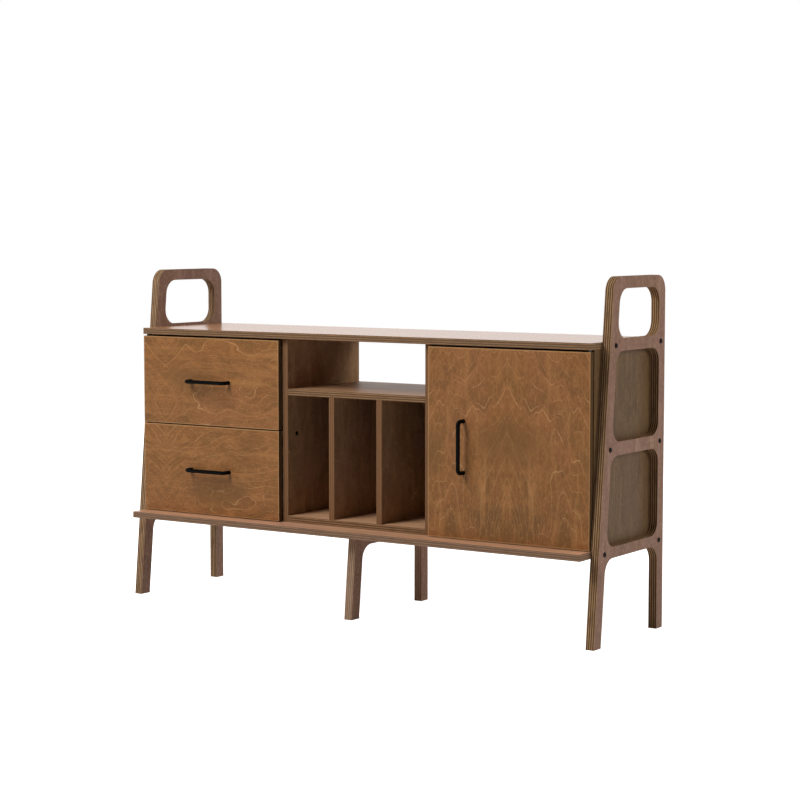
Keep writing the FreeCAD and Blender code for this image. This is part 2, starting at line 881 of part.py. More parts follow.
def magnetic_catch():
    """Catch on the right partition, inside the cupboard."""
    x = (door_bay_x[0], door_bay_x[0] + catch_width)
    return slab(x, (catch_face() - catch_reach, catch_face()), catch_z())


def catch_strike():
    x = (door_x[0] + strike_inset, door_bay_x[0] + catch_width)
    return slab(x, (front_rear - strike_thickness, front_rear), catch_z())


def frame_nodes():
    frame = side_frame()
    return {
        "left_side_frame": [mirrored(frame)],
        "right_side_frame": [frame],
        "middle_leg_frame": [middle_leg_frame()],
        "frame_to_board_bolts": board_bolts(),
        "frame_to_panel_bolts": panel_bolts(),
        "barrel_nuts": barrel_nuts(),
        "threaded_inserts": threaded_inserts(),
        "middle_leg_screws": [leg_screw(depth) for depth in leg_screw_places()],
    }


def carcass_nodes():
    drawer_back_x = (-half_inner, record_bay_x[0])
    return {
        "top_board": [top_board()],
        "bottom_board": [bottom_board()],
        "left_side_panel": [left_side_panel()],
        "right_side_panel": [right_side_panel()],
        "left_partition": [left_partition()],
        "right_partition": [right_partition()],
        "niche_shelf": [niche_shelf()],
        "record_bay_floor": [record_bay_floor()],
        "left_record_divider": [record_divider(-1)],
        "right_record_divider": [record_divider(1)],
        "drawer_bay_divider": [drawer_bay_divider()],
        "drawer_divider_screws": divider_screws(),
        "carcass_dowels": carcass_dowels(),
        "door_bay_shelf": [door_bay_shelf()],
        "shelf_pins": shelf_pins(),
        "drawer_bay_back": [back_panel(drawer_back_x, carcass_z[1])],
        "record_bay_back": [back_panel(record_bay_x, niche_shelf_z[1])],
        "door_bay_back": [back_panel(flipped(drawer_back_x), carcass_z[1])],
    }


def door_nodes():
    x, z, along = door_handle_place()
    return {
        "door_panel": [door_panel()],
        "door_handle": [handle(x, z, along)],
        "door_handle_screws": handle_screws(x, z, along, front_thickness),
        "door_hinge_leaves": door_hinge_leaves(),
        "board_hinge_leaves": board_hinge_leaves(),
        "pivot_pins": pivot_pins(),
        "pivot_washers": pivot_washers(),
        "magnetic_catch": [magnetic_catch()],
        "catch_strike": [catch_strike()],
    }


os.makedirs("parts", exist_ok=True)
nodes = {}
nodes.update(frame_nodes())
nodes.update(carcass_nodes())
nodes.update(drawer("upper_drawer", upper_front_z, middle_shelf_z[1]))
nodes.update(drawer("lower_drawer", lower_front_z, carcass_z[0]))
nodes.update(door_nodes())
for node, solids in nodes.items():
    shape = solids[0] if len(solids) == 1 else Part.makeCompound(solids)
    shape.exportStep("parts/" + node + ".step")
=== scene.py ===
import math

import bmesh
import bpy
from mathutils import Matrix, Vector


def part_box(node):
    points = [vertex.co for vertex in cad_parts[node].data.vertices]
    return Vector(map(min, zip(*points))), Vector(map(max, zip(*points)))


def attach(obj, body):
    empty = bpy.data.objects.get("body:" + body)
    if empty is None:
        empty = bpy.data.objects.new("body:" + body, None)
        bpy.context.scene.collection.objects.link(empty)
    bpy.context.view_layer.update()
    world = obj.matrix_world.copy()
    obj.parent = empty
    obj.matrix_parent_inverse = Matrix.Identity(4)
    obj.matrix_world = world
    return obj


# Looks of a plywood credenza for records: stained birch plywood with layered edges, figured
# fronts, black bar handles and bolts. Metres. X runs along the front, Y from front to back.

# Camera
camera_place = Vector((3.2395, -4.8268, 1.0783))
camera_yaw = 0.5832
camera_pitch = -0.0832
camera_lens = 94.07
sensor_width = 36.0

# Light
white = (1.0, 1.0, 1.0, 1.0)
front_sky = 0.085
back_sky = 0.05
sky_turn = 0.6
softboxes = {
    "key": {"size": 2.2, "power": 184.0, "place": Vector((-1.5, -3.0, 4.6))},
    "front": {"size": 1.5, "power": 103.0, "place": Vector((-1.1, -4.2, 3.5))},
    "fill": {"size": 1.6, "power": 95.0, "place": Vector((4.2, 1.0, 1.9))},
    "rear": {"size": 2.4, "power": 85.0, "place": Vector((-3.2, 3.8, 2.8))},
}
light_target = Vector((0.0, 0.0, 0.5))

# Floor
floor_half = 14.0
floor_corners = ((-1, -1), (1, -1), (1, 1), (-1, 1))
floor_glow = 0.955
floor_colour = (0.70, 0.70, 0.70, 1.0)
floor_roughness = 0.9

# Colours of the wide faces
front_tones = {"base": (0.216, 0.087, 0.027), "dark": (0.126, 0.059, 0.018),
               "light": (0.340, 0.157, 0.054), "line": (0.490, 0.275, 0.120)}
frame_tones = {"base": (0.196, 0.101, 0.061), "dark": (0.130, 0.066, 0.040),
               "light": (0.305, 0.186, 0.126), "line": (0.325, 0.202, 0.138)}
left_frame_tones = {"base": (0.240, 0.137, 0.092), "dark": (0.158, 0.088, 0.058),
                    "light": (0.360, 0.236, 0.174), "line": (0.380, 0.252, 0.186)}
panel_tones = {"base": (0.104, 0.059, 0.026), "dark": (0.064, 0.036, 0.016),
               "light": (0.165, 0.095, 0.044), "line": (0.210, 0.125, 0.060)}
inner_tones = {"base": (0.285, 0.168, 0.088), "dark": (0.180, 0.104, 0.053),
               "light": (0.395, 0.235, 0.126), "line": (0.540, 0.335, 0.180)}
shelf_tones = {"base": (0.300, 0.165, 0.086), "dark": (0.200, 0.110, 0.056),
               "light": (0.390, 0.225, 0.128), "line": (0.430, 0.255, 0.148)}
# Lighter than the shelves: partly the slot floor's own less red tone, partly painted light on the slot
# floors.
slot_tones_and_painted_light = {"base": (0.450, 0.250, 0.136), "dark": (0.330, 0.178, 0.094),
              "light": (0.530, 0.315, 0.185), "line": (0.570, 0.350, 0.210)}
# Lighter than the other boards: partly the top's own tone, partly painted light on the top face.
top_tones_and_painted_light = {"base": (0.405, 0.188, 0.086), "dark": (0.312, 0.141, 0.063),
             "light": (0.475, 0.242, 0.120), "line": (0.505, 0.270, 0.138)}
# Lighter than the other boards: partly the bottom board's own tone, partly painted light on its top strip.
bottom_tones_and_painted_light = {"base": (0.528, 0.280, 0.161), "dark": (0.407, 0.210, 0.118),
                "light": (0.605, 0.343, 0.207), "line": (0.640, 0.376, 0.234)}
back_tones = {"base": (0.215, 0.118, 0.064), "dark": (0.155, 0.084, 0.046),
              "light": (0.290, 0.168, 0.094), "line": (0.330, 0.200, 0.115)}
birch_tones = {"base": (0.600, 0.420, 0.235), "dark": (0.470, 0.310, 0.165),
               "light": (0.700, 0.520, 0.320), "line": (0.420, 0.270, 0.140)}

# Colours of the pale and deep layers of the cut edges
shelf_edge = {"pale": (0.290, 0.165, 0.084), "deep": (0.092, 0.050, 0.025)}
top_edge = {"pale": (0.235, 0.128, 0.060), "deep": (0.082, 0.044, 0.020)}
upright_edge = {"pale": (0.210, 0.108, 0.054), "deep": (0.150, 0.075, 0.037)}
# Dark edge layers of the fronts: partly the edges' own dark tone, partly painted shade of the gaps beside
# the fronts.
front_edge_and_painted_shade = {"pale": (0.105, 0.056, 0.021), "deep": (0.042, 0.022, 0.008)}
frame_edge = {"pale": (0.370, 0.222, 0.110), "deep": (0.078, 0.042, 0.021)}
left_frame_edge = {"pale": (0.420, 0.262, 0.145), "deep": (0.085, 0.048, 0.026)}
leg_edge = {"pale": (0.375, 0.252, 0.168), "deep": (0.190, 0.118, 0.075)}
# Very dark edge layers of the side panels: painted shade of the recess between the fronts and the frames.
panel_edge_and_painted_shade = {"pale": (0.060, 0.028, 0.012), "deep": (0.034, 0.015, 0.006)}
bottom_edge = {"pale": (0.250, 0.144, 0.086), "deep": (0.115, 0.066, 0.039)}
birch_edge = {"pale": (0.640, 0.470, 0.280), "deep": (0.330, 0.205, 0.110)}

# Detail and roughness of a noise
even_noise = (3.0, 0.55)
fine_noise = (4.0, 0.60)
single_noise = (1.0, 0.55)
edge_noise = (2.0, 0.55)
slow_noise = (2.0, 0.45)
metal_noise = (3.0, 0.50)
noise_mean = 0.5

# Waves of uneven colour: how many a metre across and along the grain, their start in the noise, its kind
streak_waves = {"rates": (238.0, 9.1), "start": 0.0, "noise": fine_noise}
band_waves = {"rates": (36.0, 3.2), "start": 5.9, "noise": even_noise}
pore_waves = {"rates": (909.0, 71.0), "start": 0.0, "noise": single_noise}
cover_waves = {"rates": (15.0, 9.0), "start": 3.1, "noise": even_noise}
cloud_waves = {"rates": (60.0, 30.0), "start": 1.7, "noise": fine_noise}
blotch_waves = {"rates": (7.0, 5.0), "start": 9.7, "noise": even_noise}
speck_waves = {"rates": (260.0, 110.0), "start": 4.3, "noise": even_noise}
hue_waves = {"rates": (5.0, 2.2), "start": 7.1, "noise": even_noise}
swirl_waves = {"rates": (15.0, 7.5), "start": 6.3, "noise": fine_noise, "twist": 2.2}
plain_waves = {"rates": (6.0, 1.3), "start": 0.0, "noise": even_noise}
door_waves = {"rates": (8.5, 2.0), "start": 3.7, "noise": slow_noise}
drawer_waves = {"rates": (8.0, 3.8), "start": 0.0, "noise": slow_noise}
wobble_waves = {"rates": (24.0, 160.0), "start": 0.0, "noise": edge_noise}
edge_fibre_waves = {"rates": (900.0, 260.0), "start": 2.7, "noise": edge_noise}

# Place of a board's own noise, from the low corner of its box
seed_rate = 10.0
seed_depth_weight = 1.7
seed_height_weight = 2.9

# Where the waves start and end to tint the wood, and how much at most
light_band = (0.52, 0.72, 0.60)
light_cloud = (0.50, 0.74, 0.30)
dark_cloud = (0.48, 0.26, 0.36)
dark_blotch = (0.50, 0.26, 0.90)
dark_pore = (0.56, 0.74, 0.24)
rosy_hue = (0.48, 0.70, 0.80)
rosy_gains = (1.08, 1.06, 1.35)

# Where the waves start and end, for tints whose strength is up to the look
light_speck_range = (0.50, 0.72)
dark_speck_range = (0.50, 0.28)
light_swirl_range = (0.52, 0.68)
dark_swirl_range = (0.48, 0.32)
light_streak_range = (0.44, 0.78)
dark_streak_range = (0.46, 0.20)

# Growth lines, in steps of the figure
line_place = 0.5
line_wander = 0.10
line_width = 0.016
thin_rate = 2.63
thin_wander = 0.30
thin_width = 0.034
thin_share = 0.70
line_cover = (0.46, 0.66)
broken_share = 0.20
shade_reach = 0.85
shade_start = 0.10
shade_cover = (0.36, 0.56)

# Figures: steps a metre, and steps that the waves and the mirrored join add to them
plain_steps = 8.0
calm_share = 0.30
peak_power = 1.35
door_steps = 7.2
door_turns = 4.6
door_arch = 1.35
door_arch_reach = 0.10
drawer_steps = 18.0
drawer_turns = 4.3
drawer_point = 1.2
drawer_point_reach = 0.075
drawer_join = -0.655

# Dark patches of the fronts: centre and reach along X and Z
patch_share = 0.50
door_patches = (((0.499, 0.515), (0.150, 0.085)), ((0.262, 0.480), (0.050, 0.090)))
drawer_patches = (((-0.560, 0.640), (0.120, 0.040)), ((-0.450, 0.320), (0.130, 0.060)))

# Layers of a cut edge
layer_pair = 0.0060
layer_range = (-0.10, 0.60)
wobble_tint = (0.45, 0.75, 0.55)
edge_fibre_tint = (0.50, 0.80, 0.45)
edge_limit = 0.72
edge_roughness = 0.8

# Painted highlight on the arris between face and edge, painted highlight along the border of a front, and
# surface of the wood
arris_highlight_range = (0.985, 0.90)
arris_highlight_share = 0.75
painted_highlight_width = 0.0042
painted_highlight_share = 0.60
fibre_depth = 0.00012
rough_swing = 0.16

# Finish of each kind of wood
plain_look = {"lines": 0.35, "shade": 0.6, "fibres": 0.34, "specks": 0.40, "roughness": 0.48, "gloss": 0.12}
frame_look = {"lines": 0.35, "shade": 0.6, "fibres": 0.40, "specks": 0.60, "roughness": 0.50, "gloss": 0.12}
# Fronts take a painted highlight along their border.
front_look = {"lines": 0.85, "shade": 0.5, "fibres": 0.26, "specks": 0.50, "roughness": 0.46, "gloss": 0.18,
              "swirl": 0.36, "painted_highlight_border": True}
door_look = {**front_look, "lines": 0.80, "swirl": 0.26}
inner_look = {"lines": 0.85, "shade": 0.5, "fibres": 0.30, "specks": 0.40, "roughness": 0.55, "gloss": 0.0}
panel_look = {"lines": 0.55, "shade": 0.6, "fibres": 0.45, "specks": 0.40, "roughness": 0.46, "gloss": 0.10}
shelf_look = {"lines": 0.35, "shade": 0.6, "fibres": 0.30, "specks": 0.40, "roughness": 0.44, "gloss": 0.16}
bottom_look = {"lines": 0.35, "shade": 0.6, "fibres": 0.30, "specks": 0.40, "roughness": 0.30, "gloss": 0.40}
top_look = {"lines": 0.35, "shade": 0.6, "fibres": 0.18, "specks": 0.20, "roughness": 0.20, "gloss": 0.58,
            "relief": 0.15}

# Finish of metal and nylon
black_finish = {"colour": (0.0016, 0.0014, 0.0012), "metallic": 0.0, "roughness": 0.50, "grain": 0.0012,
                "depth": 0.00004, "gloss": 0.04}
nylon_finish = {"colour": (0.020, 0.019, 0.018), "metallic": 0.0, "roughness": 0.50, "grain": 0.002,
                "depth": 0.00003, "gloss": 0.4}
zinc_finish = {"colour": (0.47, 0.47, 0.46), "metallic": 1.0, "roughness": 0.36, "grain": 0.0016,
               "depth": 0.00003, "gloss": 0.5}
metal_dark_share = 0.72
metal_tone_range = (0.35, 0.70)
metal_rough_range = (0.30, 0.70)
metal_rough_drop = 0.06
metal_rough_rise = 0.08

# Small screws of the thin backs, and the boards that they also go into
screw_radius = 0.0031
screw_rim_radius = 0.0027
screw_segments = 20
screw_crown = 0.00001
screw_sink = 0.0005
# Crossed slots, drawn as dark bars that paint their shade
cross_length = 0.0034
cross_width = 0.0006
cross_rise = 0.000005
unit_cube = 1.0
screw_inset = 0.0055
screw_end = 0.030
screw_spacing = 0.115
screw_turn = 2.4
back_boards = {"drawer_bay_back": ["drawer_bay_divider"],
               "record_bay_back": ["record_bay_floor", "niche_shelf"],
               "door_bay_back": []}

# Names
axis_number = {"X": 0, "Y": 1, "Z": 2}
drawers = ("upper_drawer", "lower_drawer")


class Graph:
    """Node tree of one material, with short ways to add nodes to it."""

    def __init__(self, name):
        self.material = bpy.data.materials.new(name)
        self.material.use_nodes = True
        self.tree = self.material.node_tree
        self.shader = self.tree.nodes["Principled BSDF"]
        place = self.node("ShaderNodeTexCoord")
        self.place = place.outputs["Object"]
        self.facing = place.outputs["Normal"]

    def node(self, kind, **settings):
        made = self.tree.nodes.new(kind)
        for setting, value in settings.items():
            setattr(made, setting, value)
        return made

    def feed(self, socket, value):
        if isinstance(value, bpy.types.NodeSocket):
            self.tree.links.new(value, socket)
        else:
            socket.default_value = value

    def math(self, operation, *values):
        made = self.node("ShaderNodeMath", operation=operation)
        for socket, value in zip(made.inputs, values):
            self.feed(socket, value)
        return made.outputs[0]

    def split(self, vector):
        made = self.node("ShaderNodeSeparateXYZ")
        self.feed(made.inputs[0], vector)
        return made.outputs

    def join(self, x, y, z):
        made = self.node("ShaderNodeCombineXYZ")
        for socket, value in zip(made.inputs, (x, y, z)):
            self.feed(socket, value)
        return made.outputs[0]

    def noise(self, vector, detail, roughness, twist=0.0):
        made = self.node("ShaderNodeTexNoise")
        self.feed(made.inputs["Vector"], vector)
        made.inputs["Scale"].default_value = 1.0
        made.inputs["Detail"].default_value = detail
        made.inputs["Roughness"].default_value = roughness
        made.inputs["Distortion"].default_value = twist
        return made.outputs["Fac"]

    def spread(self, value, low, high, new_low=0.0, new_high=1.0):
        made = self.node("ShaderNodeMapRange", interpolation_type="SMOOTHSTEP")
        for socket, given in zip(made.inputs, (value, low, high, new_low, new_high)):
            self.feed(socket, given)
        return made.outputs[0]

    def mix(self, share, first, second):
        made = self.node("ShaderNodeMix", data_type="RGBA")
        self.feed(made.inputs[0], share)
        for socket, colour in zip(made.inputs[6:8], (first, second)):
            self.feed(socket, colour if isinstance(colour, bpy.types.NodeSocket) else (*colour, 1.0))
        return made.outputs[2]

    def finish(self, colour, roughness, height, depth, gloss):
        self.shader.inputs["Specular IOR Level"].default_value = gloss
        self.feed(self.shader.inputs["Base Color"], colour)
        self.feed(self.shader.inputs["Roughness"], roughness)
        bump = self.node("ShaderNodeBump")
        bump.inputs["Distance"].default_value = depth
        self.feed(bump.inputs["Height"], height)
        self.feed(self.shader.inputs["Normal"], bump.outputs[0])
        return self.material


def waves(graph, across, along, seed, kind):
    """Noise over a face, at its own rate across and along the grain."""
    across_rate, along_rate = kind["rates"]
    x = graph.math("MULTIPLY", across, across_rate)
    y = graph.math("MULTIPLY", along, along_rate)
    return graph.noise(graph.join(x, y, seed + kind["start"]), *kind["noise"], kind.get("twist", 0.0))


def tint(graph, colour, value, start, end, share, tone):
    """The colour with a share of the tone mixed in, as the value goes from start to end."""
    return graph.mix(graph.spread(value, start, end, 0.0, share), colour, tone)


def plain_figure(graph, across, along, seed):
    """Slow waves of a sliced veneer, as a rising value with a growth line in each whole step."""
    return graph.math("MULTIPLY", waves(graph, across, along, seed, plain_waves), plain_steps)


def swings(graph, across, along, seed, kind):
    """Slow waves to both sides of nought."""
    return graph.math("SUBTRACT", waves(graph, across, along, seed, kind), noise_mean)


def peak(graph, distance, reach):
    """One at no distance, with a rounded point, falling to nought at the reach."""
    rest = graph.math("SUBTRACT", 1.0, graph.math("DIVIDE", distance, reach))
    return graph.math("POWER", graph.math("MAXIMUM", rest, 0.0), peak_power)


def door_figure(graph, across, along, seed):
    """Upright figure with arches at the join."""
    arch = peak(graph, across, door_arch_reach)
    turns = swings(graph, across, along, seed, door_waves)
    swing = graph.spread(across, 0.0, door_arch_reach, door_turns * calm_share, door_turns)
    rise = graph.math("MULTIPLY_ADD", arch, -door_arch, graph.math("MULTIPLY", along, door_steps))
    return graph.math("MULTIPLY_ADD", turns, swing, rise)


def drawer_figure(graph, across, along, seed):
    """Lying figure with nested points at the join."""
    point = peak(graph, along, drawer_point_reach)
    turns = swings(graph, across, along, seed, drawer_waves)
    swing = graph.spread(along, 0.0, drawer_point_reach, drawer_turns * calm_share, drawer_turns)
    rise = graph.math("MULTIPLY_ADD", point, drawer_point, graph.math("MULTIPLY", across, drawer_steps))
    return graph.math("MULTIPLY_ADD", turns, swing, rise)


def growth_line(graph, figure, width):
    """Place within a step of the figure, and a line: one halfway in the step, nought beyond the width."""
    phase = graph.math("FRACT", figure)
    off = graph.math("ABSOLUTE", graph.math("SUBTRACT", phase, line_place))
    return phase, graph.spread(off, 0.0, width, 1.0, 0.0)


def line_shade(graph, phase, blotch, strength):
    """Shade that sets in after a growth line and fades before the next."""
    after = graph.math("FRACT", graph.math("SUBTRACT", phase, line_place))
    fading = graph.spread(after, 0.0, shade_reach, 1.0, 0.0)
    shade = graph.math("MULTIPLY", fading, graph.spread(after, 0.0, shade_start))
    return graph.math("MULTIPLY", shade, graph.spread(blotch, *shade_cover, 0.0, strength))


def veneer(graph, figure, across, along, seed, tones, look):
    """Colour of a wide face, and the streaks of its fibres."""
    face = (graph, across, along, seed)
    streak = waves(*face, streak_waves)
    cloud = waves(*face, cloud_waves)
    blotch = waves(*face, blotch_waves)
    phase, line = growth_line(graph, graph.math("MULTIPLY_ADD", cloud, line_wander, figure), line_width)
    rosy = tuple(value * gain for value, gain in zip(tones["base"], rosy_gains))
    colour = tint(graph, tones["base"], waves(*face, hue_waves), *rosy_hue, rosy)
    colour = graph.mix(line_shade(graph, phase, blotch, look["shade"]), colour, tones["dark"])
    colour = tint(graph, colour, blotch, *dark_blotch, tones["dark"])
    colour = tint(graph, colour, waves(*face, band_waves), *light_band, tones["light"])
    colour = tint(graph, colour, cloud, *light_cloud, tones["light"])
    colour = tint(graph, colour, cloud, *dark_cloud, tones["dark"])
    colour = tint(graph, colour, streak, *light_streak_range, look["fibres"], tones["light"])
    colour = tint(graph, colour, streak, *dark_streak_range, look["fibres"], tones["dark"])
    speck = waves(*face, speck_waves)
    colour = tint(graph, colour, speck, *light_speck_range, look["specks"], tones["light"])
    colour = tint(graph, colour, speck, *dark_speck_range, look["specks"], tones["dark"])
    colour = tint(graph, colour, waves(*face, pore_waves), *dark_pore, tones["dark"])
    if "swirl" in look:
        swirl = waves(*face, swirl_waves)
        colour = tint(graph, colour, swirl, *light_swirl_range, look["swirl"], tones["light"])
        colour = tint(graph, colour, swirl, *dark_swirl_range, look["swirl"], tones["dark"])
    cover = waves(*face, cover_waves)
    thin_place = graph.math("MULTIPLY_ADD", cloud, thin_wander, graph.math("MULTIPLY", figure, thin_rate))
    thin = growth_line(graph, thin_place, thin_width)[1]
    faint = graph.spread(cover, *line_cover, look["lines"] * thin_share, 0.0)
    colour = graph.mix(graph.math("MULTIPLY", thin, faint), colour, tones["line"])
    bold = graph.spread(cover, *line_cover, look["lines"] * broken_share, look["lines"])
    return graph.mix(graph.math("MULTIPLY", line, bold), colour, tones["line"]), streak


def layers(graph, through, along, seed, edge, middle):
    """Colour of a cut edge: alternate layers, each a little uneven along its length."""
    ring = graph.math("DIVIDE", graph.math("SUBTRACT", through, middle), layer_pair)
    turn = graph.math("COSINE", graph.math("MULTIPLY", ring, math.tau))
    wobble = waves(graph, along, through, seed, wobble_waves)
    fibre = waves(graph, along, through, seed, edge_fibre_waves)
    colour = graph.mix(graph.spread(turn, *layer_range), edge["deep"], edge["pale"])
    colour = tint(graph, colour, wobble, *wobble_tint, edge["deep"])
    return tint(graph, colour, fibre, *edge_fibre_tint, edge["deep"])


def painted_highlight_border(graph, value, low, high):
    """Share of the painted highlight along the two ends of a board, falling to nought within its width."""
    inside = graph.math("MINIMUM", graph.math("SUBTRACT", value, low), graph.math("SUBTRACT", high, value))
    return graph.spread(inside, 0.0, painted_highlight_width, painted_highlight_share, 0.0)


def patch(graph, here, centre, reach):
    """The patches' share at the centre of an oval on the front, falling to nought at its rim."""
    offsets = []
    for axis, place, half in zip("XZ", centre, reach):
        apart = graph.math("DIVIDE", graph.math("SUBTRACT", here[axis_number[axis]], place), half)
        offsets.append(graph.math("POWER", graph.math("ABSOLUTE", apart), 2.0))
    return graph.spread(graph.math("ADD", *offsets), 0.0, 1.0, patch_share, 0.0)


def plywood(node, through, grain, tones, edge, look, figure=plain_figure, join=None, patches=()):
    """Plywood for one node: veneer on its wide faces and layers on its edges.

    Two leaves of the veneer mirror each other at the join, an axis and a place on it.
    """
    graph = Graph(node)
    low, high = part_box(node)
    seed = seed_rate * (low.x + seed_depth_weight * low.y + seed_height_weight * low.z)
    across = next(name for name in "XYZ" if name not in (through, grain))
    here = graph.split(graph.place)
    leaf = list(here)
    if join is not None:
        number = axis_number[join[0]]
        leaf[number] = graph.math("ABSOLUTE", graph.math("SUBTRACT", here[number], join[1]))
    across_value = leaf[axis_number[across]]
    along_value = leaf[axis_number[grain]]
    pattern = figure(graph, across_value, along_value, seed)
    face, streak = veneer(graph, pattern, across_value, along_value, seed, tones, look)
    for centre, reach in patches:
        face = graph.mix(patch(graph, here, centre, reach), face, tones["dark"])
    turned = graph.math("ABSOLUTE", graph.split(graph.facing)[axis_number[through]])
    # Painted highlight on the rounded arris, where the surface turns from face to edge.
    face = tint(graph, face, turned, *arris_highlight_range, arris_highlight_share, tones["light"])
    # Painted highlight along the border of a front.
    if look.get("painted_highlight_border"):
        for name in (across, grain):
            number = axis_number[name]
            face = graph.mix(painted_highlight_border(graph, here[number], low[number], high[number]), face, tones["line"])
    depth_number = axis_number[through]
    middle = (low[depth_number] + high[depth_number]) / 2
    length = graph.math("ADD", across_value, along_value)
    rim = layers(graph, here[depth_number], length, seed, edge, middle)
    wide = graph.math("GREATER_THAN", turned, edge_limit)
    relief = look.get("relief", 1.0)
    swing = rough_swing * relief
    face_rough = graph.math("MULTIPLY_ADD", streak, swing, look["roughness"] - swing / 2)
    edge_rough = graph.math("MULTIPLY_ADD", wide, -edge_roughness, edge_roughness)
    rough = graph.math("MAXIMUM", face_rough, edge_rough)
    return graph.finish(graph.mix(wide, rim, face), rough, streak, fibre_depth * relief, look["gloss"])


def metal(name, colour, metallic, roughness, grain, depth, gloss):
    """Painted or plated metal, or nylon, with a fine uneven surface."""
    graph = Graph(name)
    here = graph.split(graph.place)
    place = graph.join(*(graph.math("DIVIDE", value, grain) for value in here))
    speck = graph.noise(place, *metal_noise)
    graph.shader.inputs["Metallic"].default_value = metallic
    darker = tuple(value * metal_dark_share for value in colour)
    tone = graph.mix(graph.spread(speck, *metal_tone_range), darker, colour)
    smoothest = roughness - metal_rough_drop
    roughest = roughness + metal_rough_rise
    rough = graph.spread(speck, *metal_rough_range, smoothest, roughest)
    return graph.finish(tone, rough, speck, depth, gloss)


def wear(names, material):
    for name in names:
        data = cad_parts[name].data
        data.materials.clear()
        data.materials.append(material)


def clad(names, through, grain, tones, edge, look, **options):
    for name in names:
        wear([name], plywood(name, through, grain, tones, edge, look, **options))


def dress_fronts():
    fronts = [f"{drawer}_front" for drawer in drawers]
    clad(fronts, "Y", "X", front_tones, front_edge_and_painted_shade, front_look, figure=drawer_figure,
         join=("X", drawer_join), patches=drawer_patches)
    door_low, door_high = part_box("door_panel")
    clad(["door_panel"], "Y", "Z", front_tones, front_edge_and_painted_shade, door_look, figure=door_figure,
         join=("X", (door_low.x + door_high.x) / 2), patches=door_patches)


def dress_frames():
    clad(["left_side_frame"], "X", "Z", left_frame_tones, left_frame_edge, frame_look)
    clad(["right_side_frame"], "X", "Z", frame_tones, frame_edge, frame_look)
    clad(["middle_leg_frame"], "X", "Z", frame_tones, leg_edge, frame_look)


def dress_lying_boards():
    clad(["top_board"], "Z", "X", top_tones_and_painted_light, top_edge, top_look)
    clad(["bottom_board"], "Z", "X", bottom_tones_and_painted_light, bottom_edge, bottom_look)
    clad(["record_bay_floor"], "Z", "X", slot_tones_and_painted_light, shelf_edge, shelf_look)
    shelves = ["niche_shelf", "drawer_bay_divider", "door_bay_shelf"]
    clad(shelves, "Z", "X", shelf_tones, shelf_edge, shelf_look)


def dress_upright_boards():
    clad(["left_side_panel", "right_side_panel"], "X", "Z", panel_tones, panel_edge_and_painted_shade, panel_look)
    uprights = ["left_partition", "right_partition", "left_record_divider", "right_record_divider"]
    clad(uprights, "X", "Z", inner_tones, upright_edge, inner_look)
    clad(list(back_boards), "Y", "X", back_tones, shelf_edge, plain_look)


def dress_drawer_boxes():
    for drawer in drawers:
        sides = [f"{drawer}_left_side", f"{drawer}_right_side"]
        clad(sides, "X", "Y", birch_tones, birch_edge, plain_look)
        clad([f"{drawer}_inner_front", f"{drawer}_back"], "Y", "X", birch_tones, birch_edge, plain_look)
        clad([f"{drawer}_bottom"], "Z", "X", birch_tones, birch_edge, plain_look)


def undressed(name):
    """Whether a node has no material yet but the one that it was loaded with."""
    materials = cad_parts[name].data.materials
    return not materials or materials[0] is None or materials[0].name in record_slots


def dress_metal():
    """Black and nylon pieces by name, and zinc for all that is left."""
    black = [f"{drawer}_handle" for drawer in drawers]
    black += ["door_handle", "frame_to_board_bolts", "frame_to_panel_bolts", "drawer_divider_screws"]
    black += ["door_hinge_leaves", "board_hinge_leaves", "pivot_pins"]
    dark = metal("black_steel", **black_finish)
    wear(black, dark)
    wear(["pivot_washers", "magnetic_catch"], metal("nylon", **nylon_finish))
    bare = [name for name in sorted(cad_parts) if undressed(name)]
    zinc = metal("zinc_steel", **zinc_finish)
    wear(bare, zinc)
    add_back_screws(zinc, dark)


def dress():
    """Give each node its material."""
    dress_fronts()
    dress_frames()
    dress_lying_boards()
    dress_upright_boards()
    dress_drawer_boxes()
    clad(["carcass_dowels"], "Y", "X", birch_tones, birch_edge, plain_look)
    dress_metal()


def even_places(low, high):
    """Places from low to high, no further apart than the screws' spacing."""
    count = math.ceil((high - low) / screw_spacing)
    return [low + (high - low) * number / count for number in range(count + 1)]


def screw_places():
    """Centres of the small screws along the sides of the thin backs and over the boards before them."""
    places = []
    tall_low, tall_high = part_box("drawer_bay_back")
    heights = even_places(tall_low.z + screw_end, tall_high.z - screw_end)
    for back, boards in back_boards.items():
        low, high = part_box(back)
        sides = (low.x + screw_inset, high.x - screw_inset)
        for z in heights:
            if z < high.z - screw_end / 2:
                places += [Vector((x, high.y, z)) for x in sides]
        for board in boards:
            board_low, board_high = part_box(board)
            z = (board_low.z + board_high.z) / 2
            places += [Vector((x, high.y, z)) for x in even_places(*sides)[1:-1]]
    return places


def add_head(shape, place):
    """Countersunk head, level with the back."""
    upright = Matrix.Rotation(-math.pi / 2, 4, "X")
    centre = Matrix.Translation(place + Vector((0.0, (screw_crown - screw_sink) / 2, 0.0)))
    bmesh.ops.create_cone(shape, cap_ends=True, segments=screw_segments, radius1=screw_radius,
                          radius2=screw_rim_radius, depth=screw_crown + screw_sink, matrix=centre @ upright)


def add_cross(shape, place, turn):
    """The two crossed slots in a head, as dark bars in it that paint the shade in the recessed slots."""
    crest = screw_crown + cross_rise
    centre = Matrix.Translation(place + Vector((0.0, (crest - screw_sink) / 2, 0.0)))
    stretch = Matrix.Diagonal((cross_length, crest + screw_sink, cross_width, 1.0))
    for angle in (turn, turn + math.pi / 2):
        bar_place = centre @ Matrix.Rotation(angle, 4, "Y") @ stretch
        bar = bmesh.ops.create_cube(shape, size=unit_cube, matrix=bar_place)
        for vertex in bar["verts"]:
            for face in vertex.link_faces:
                face.material_index = 1


